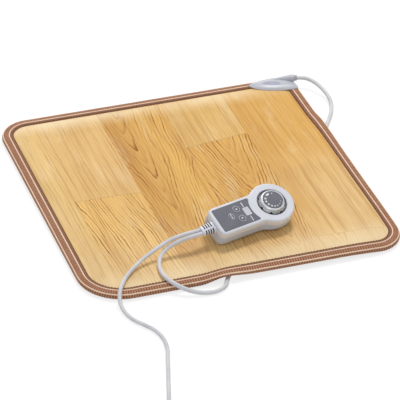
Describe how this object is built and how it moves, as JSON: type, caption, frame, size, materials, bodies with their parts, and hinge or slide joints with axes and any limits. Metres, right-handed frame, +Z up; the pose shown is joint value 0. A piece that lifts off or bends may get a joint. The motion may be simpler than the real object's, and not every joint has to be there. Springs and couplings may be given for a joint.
{
  "type": "heating pad with controller",
  "caption": "Flat square heated seat pad with a sewn bound edge, a corner junction housing, and a wired hand controller with a dial, keys and a display.",
  "frame": {"origin": "under the middle of the square pad, on the surface it lies on", "axes": "+Z up out of the pad's top cover, +Y towards the edge with the corner housing, +X towards the side that the pad lead leaves from"},
  "size_m": [0.4867, 0.7945, 0.0533],
  "materials": {
    "printed_vinyl": "wood-plank print, satin",
    "silicone_cord": "matt",
    "felt": "felted",
    "backing_cloth": "woven",
    "binding_tape": "ribbed tape with pale lines",
    "pale_plastic": "moulded, semi-gloss",
    "case_plastic": "moulded, semi-gloss",
    "panel_film": "printed film",
    "window_plastic": "clear, tinted grey",
    "key_plastic": "moulded, matt",
    "silver_plastic": "silver lacquer",
    "dark_plastic": "moulded, matt",
    "board": "laminate",
    "steel": "plated",
    "lead_sheath": "smooth sheath, satin",
    "pin_metal": "nickel plated"
  },
  "bodies": {
    "pad": {"top_cover": "printed_vinyl", "heating_cord": "silicone_cord", "felt_core": "felt", "bottom_cover": "backing_cloth", "edge_binding": "binding_tape", "housing_upper": "pale_plastic", "housing_lower": "pale_plastic", "housing_screw_1": "steel", "housing_screw_2": "steel", "thermostat": "steel", "thermal_fuse": "pale_plastic", "housing_sleeve": "lead_sheath", "upper_case": "case_plastic", "lower_case": "case_plastic", "panel_overlay": "panel_film", "display_window": "window_plastic", "display_module": "dark_plastic", "key_up_switch": "dark_plastic", "key_down_switch": "dark_plastic", "key_power_switch": "dark_plastic", "potentiometer": "steel", "circuit_board": "board", "relay": "dark_plastic", "capacitor": "dark_plastic", "terminal_block": "pale_plastic", "strain_relief": "lead_sheath", "case_screw_1": "steel", "case_screw_2": "steel", "case_screw_3": "steel", "case_screw_4": "steel", "pad_lead": "lead_sheath", "mains_lead": "lead_sheath", "mains_coil": "lead_sheath", "mains_tail": "lead_sheath", "cord_tie": "dark_plastic", "plug_body": "lead_sheath", "plug_pin_1": "pin_metal", "plug_pin_2": "pin_metal"},
    "dial": {"dial_knob": "silver_plastic", "dial_cap": "panel_film", "dial_shaft": "steel"},
    "up_key": {"key_up": "key_plastic"},
    "down_key": {"key_down": "key_plastic"},
    "power_key": {"key_power": "key_plastic"}
  },
  "joints": [
    {"name": "dial_turn", "type": "hinge", "parent": "pad", "child": "dial", "pos_m": [0.06449, -0.12521, 0.04688], "axis": [0.0957, -0.3622, 0.9272], "range_deg": [-135, 135]},
    {"name": "up_key_press", "type": "slide", "parent": "pad", "child": "up_key", "axis": [-0.0957, 0.3622, -0.9272], "range_m": [0, 0.0005], "stiffness_N_per_m": 1500, "springref_m": -0.0005},
    {"name": "down_key_press", "type": "slide", "parent": "pad", "child": "down_key", "axis": [-0.0957, 0.3622, -0.9272], "range_m": [0, 0.0005], "stiffness_N_per_m": 1500, "springref_m": -0.0005},
    {"name": "power_key_press", "type": "slide", "parent": "pad", "child": "power_key", "axis": [-0.0957, 0.3622, -0.9272], "range_m": [0, 0.0005], "stiffness_N_per_m": 1500, "springref_m": -0.0005}
  ]
}
